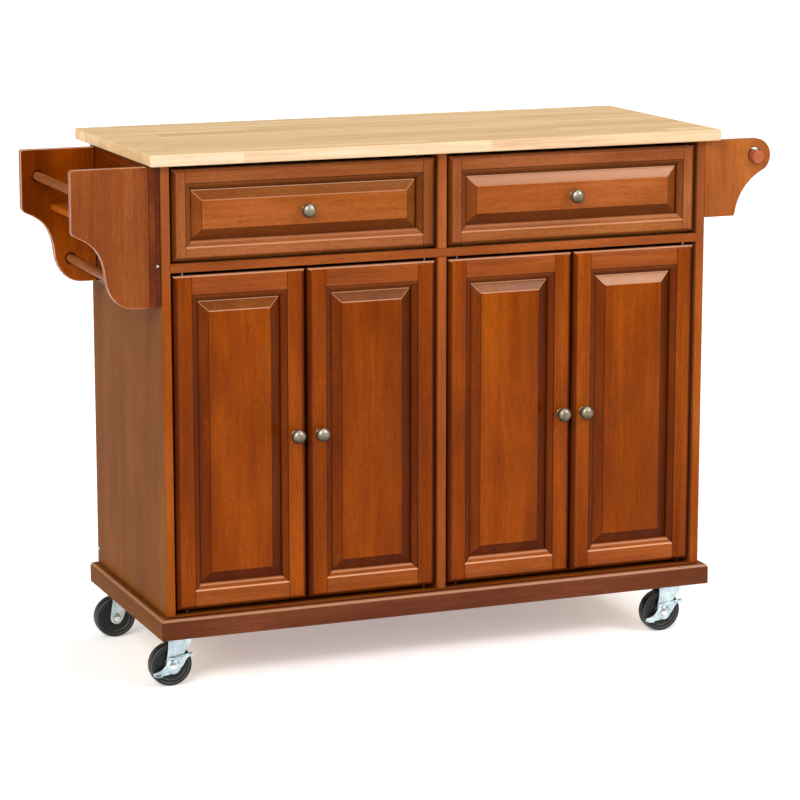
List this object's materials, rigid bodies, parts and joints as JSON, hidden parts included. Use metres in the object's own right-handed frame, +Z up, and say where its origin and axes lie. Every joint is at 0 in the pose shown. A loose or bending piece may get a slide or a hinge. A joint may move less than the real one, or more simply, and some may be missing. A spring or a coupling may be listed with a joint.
{
  "type": "kitchen island cart",
  "caption": "Rolling kitchen island with a butcher-block top, raised-panel drawers and doors, a side spice rack, a towel bar and swivel casters.",
  "frame": {"origin": "centre of the bounding box in X and Y, on the floor under the casters", "axes": "+Z up, -Y towards the person in front of the doors, +X towards the towel bar"},
  "size_m": [1.3106, 0.4648, 0.934],
  "materials": {
    "maple": "oiled, satin",
    "cherry": "stained and glazed, satin",
    "cherry_light": "stained, satin",
    "cherry_side": "stained, satin",
    "cherry_dark": "dark stain, satin",
    "stained_dark": "dark stain",
    "plain_wood": "unfinished",
    "nickel": "brushed nickel",
    "zinc": "bright zinc plate",
    "black_plastic": "hard black plastic"
  },
  "bodies": {
    "case": {"top_board": "maple", "side_left": "cherry_side", "side_right": "cherry_side", "deck": "cherry_light", "divider_lower": "cherry_light", "divider_upper": "cherry_light", "back_panel": "cherry_side", "shelf_left": "cherry", "shelf_right": "cherry", "plinth_front": "cherry_dark", "plinth_right": "cherry_dark", "plinth_back": "cherry_dark", "plinth_left": "cherry_dark", "floor_board": "cherry", "cleat_left": "plain_wood", "cleat_right": "plain_wood", "rack_end_front": "cherry", "rack_end_rear": "cherry", "rack_back": "cherry", "rack_batten": "stained_dark", "rack_shelf": "cherry", "rack_dowel_upper": "cherry", "rack_dowel_lower": "cherry", "towel_bracket_front": "cherry", "towel_bracket_rear": "cherry", "caster_fl_plate": "zinc", "caster_fr_plate": "zinc", "caster_rl_plate": "zinc", "caster_rr_plate": "zinc"},
    "drawer_left": {"drawer_left_frame": "cherry", "drawer_left_panel": "cherry", "drawer_left_knob": "nickel", "drawer_left_box": "plain_wood"},
    "drawer_right": {"drawer_right_frame": "cherry", "drawer_right_panel": "cherry", "drawer_right_knob": "nickel", "drawer_right_box": "plain_wood"},
    "door_1": {"door_1_frame": "cherry", "door_1_panel": "cherry", "door_1_knob": "nickel"},
    "door_2": {"door_2_frame": "cherry", "door_2_panel": "cherry", "door_2_knob": "nickel"},
    "door_3": {"door_3_frame": "cherry", "door_3_panel": "cherry", "door_3_knob": "nickel"},
    "door_4": {"door_4_frame": "cherry", "door_4_panel": "cherry", "door_4_knob": "nickel"},
    "towel_bar": {"towel_bar": "cherry_light"},
    "caster_fl_swivel": {"caster_fl_fork": "zinc"},
    "caster_fl_roller": {"caster_fl_wheel": "black_plastic"},
    "caster_fl_lever": {"caster_fl_brake": "zinc"},
    "caster_fr_swivel": {"caster_fr_fork": "zinc"},
    "caster_fr_roller": {"caster_fr_wheel": "black_plastic"},
    "caster_fr_lever": {"caster_fr_brake": "zinc"},
    "caster_rl_swivel": {"caster_rl_fork": "zinc"},
    "caster_rl_roller": {"caster_rl_wheel": "black_plastic"},
    "caster_rr_swivel": {"caster_rr_fork": "zinc"},
    "caster_rr_roller": {"caster_rr_wheel": "black_plastic"}
  },
  "joints": [
    {"name": "drawer_left_slide", "type": "slide", "parent": "case", "child": "drawer_left", "axis": [0, -1, 0], "range_m": [0, 0.3]},
    {"name": "drawer_right_slide", "type": "slide", "parent": "case", "child": "drawer_right", "axis": [0, -1, 0], "range_m": [0, 0.3]},
    {"name": "door_1_hinge", "type": "hinge", "parent": "case", "child": "door_1", "pos_m": [-0.46085, -0.1971, 0.4335], "axis": [0, 0, -1], "range_deg": [0, 105]},
    {"name": "door_2_hinge", "type": "hinge", "parent": "case", "child": "door_2", "pos_m": [-0.01865, -0.1971, 0.4335], "axis": [0, 0, 1], "range_deg": [0, 85]},
    {"name": "door_3_hinge", "type": "hinge", "parent": "case", "child": "door_3", "pos_m": [0.04315, -0.1971, 0.4335], "axis": [0, 0, -1], "range_deg": [0, 85]},
    {"name": "door_4_hinge", "type": "hinge", "parent": "case", "child": "door_4", "pos_m": [0.48535, -0.1971, 0.4335], "axis": [0, 0, 1], "range_deg": [0, 105]},
    {"name": "towel_bar_slide", "type": "slide", "parent": "case", "child": "towel_bar", "axis": [0, -1, 0], "range_m": [0, 0.335]},
    {"name": "caster_fl_swivel_joint", "type": "hinge", "parent": "case", "child": "caster_fl_swivel", "pos_m": [-0.46275, -0.1641, 0.086], "axis": [0, 0, 1], "continuous": true},
    {"name": "caster_fl_wheel_spin", "type": "hinge", "parent": "caster_fl_swivel", "child": "caster_fl_roller", "pos_m": [-0.48275, -0.1641, 0.038], "axis": [0, 1, 0], "continuous": true},
    {"name": "caster_fl_brake_hinge", "type": "hinge", "parent": "caster_fl_swivel", "child": "caster_fl_lever", "pos_m": [-0.48275, -0.1641, 0.038], "axis": [0, 1, 0], "range_deg": [0, 18]},
    {"name": "caster_fr_swivel_joint", "type": "hinge", "parent": "case", "child": "caster_fr_swivel", "pos_m": [0.48725, -0.1641, 0.086], "axis": [0, 0, 1], "continuous": true},
    {"name": "caster_fr_wheel_spin", "type": "hinge", "parent": "caster_fr_swivel", "child": "caster_fr_roller", "pos_m": [0.46725, -0.1641, 0.038], "axis": [0, 1, 0], "continuous": true},
    {"name": "caster_fr_brake_hinge", "type": "hinge", "parent": "caster_fr_swivel", "child": "caster_fr_lever", "pos_m": [0.46725, -0.1641, 0.038], "axis": [0, 1, 0], "range_deg": [0, 18]},
    {"name": "caster_rl_swivel_joint", "type": "hinge", "parent": "case", "child": "caster_rl_swivel", "pos_m": [-0.46275, 0.1719, 0.086], "axis": [0, 0, 1], "continuous": true},
    {"name": "caster_rl_wheel_spin", "type": "hinge", "parent": "caster_rl_swivel", "child": "caster_rl_roller", "pos_m": [-0.48275, 0.1719, 0.038], "axis": [0, 1, 0], "continuous": true},
    {"name": "caster_rr_swivel_joint", "type": "hinge", "parent": "case", "child": "caster_rr_swivel", "pos_m": [0.48725, 0.1719, 0.086], "axis": [0, 0, 1], "continuous": true},
    {"name": "caster_rr_wheel_spin", "type": "hinge", "parent": "caster_rr_swivel", "child": "caster_rr_roller", "pos_m": [0.46725, 0.1719, 0.038], "axis": [0, 1, 0], "continuous": true}
  ]
}
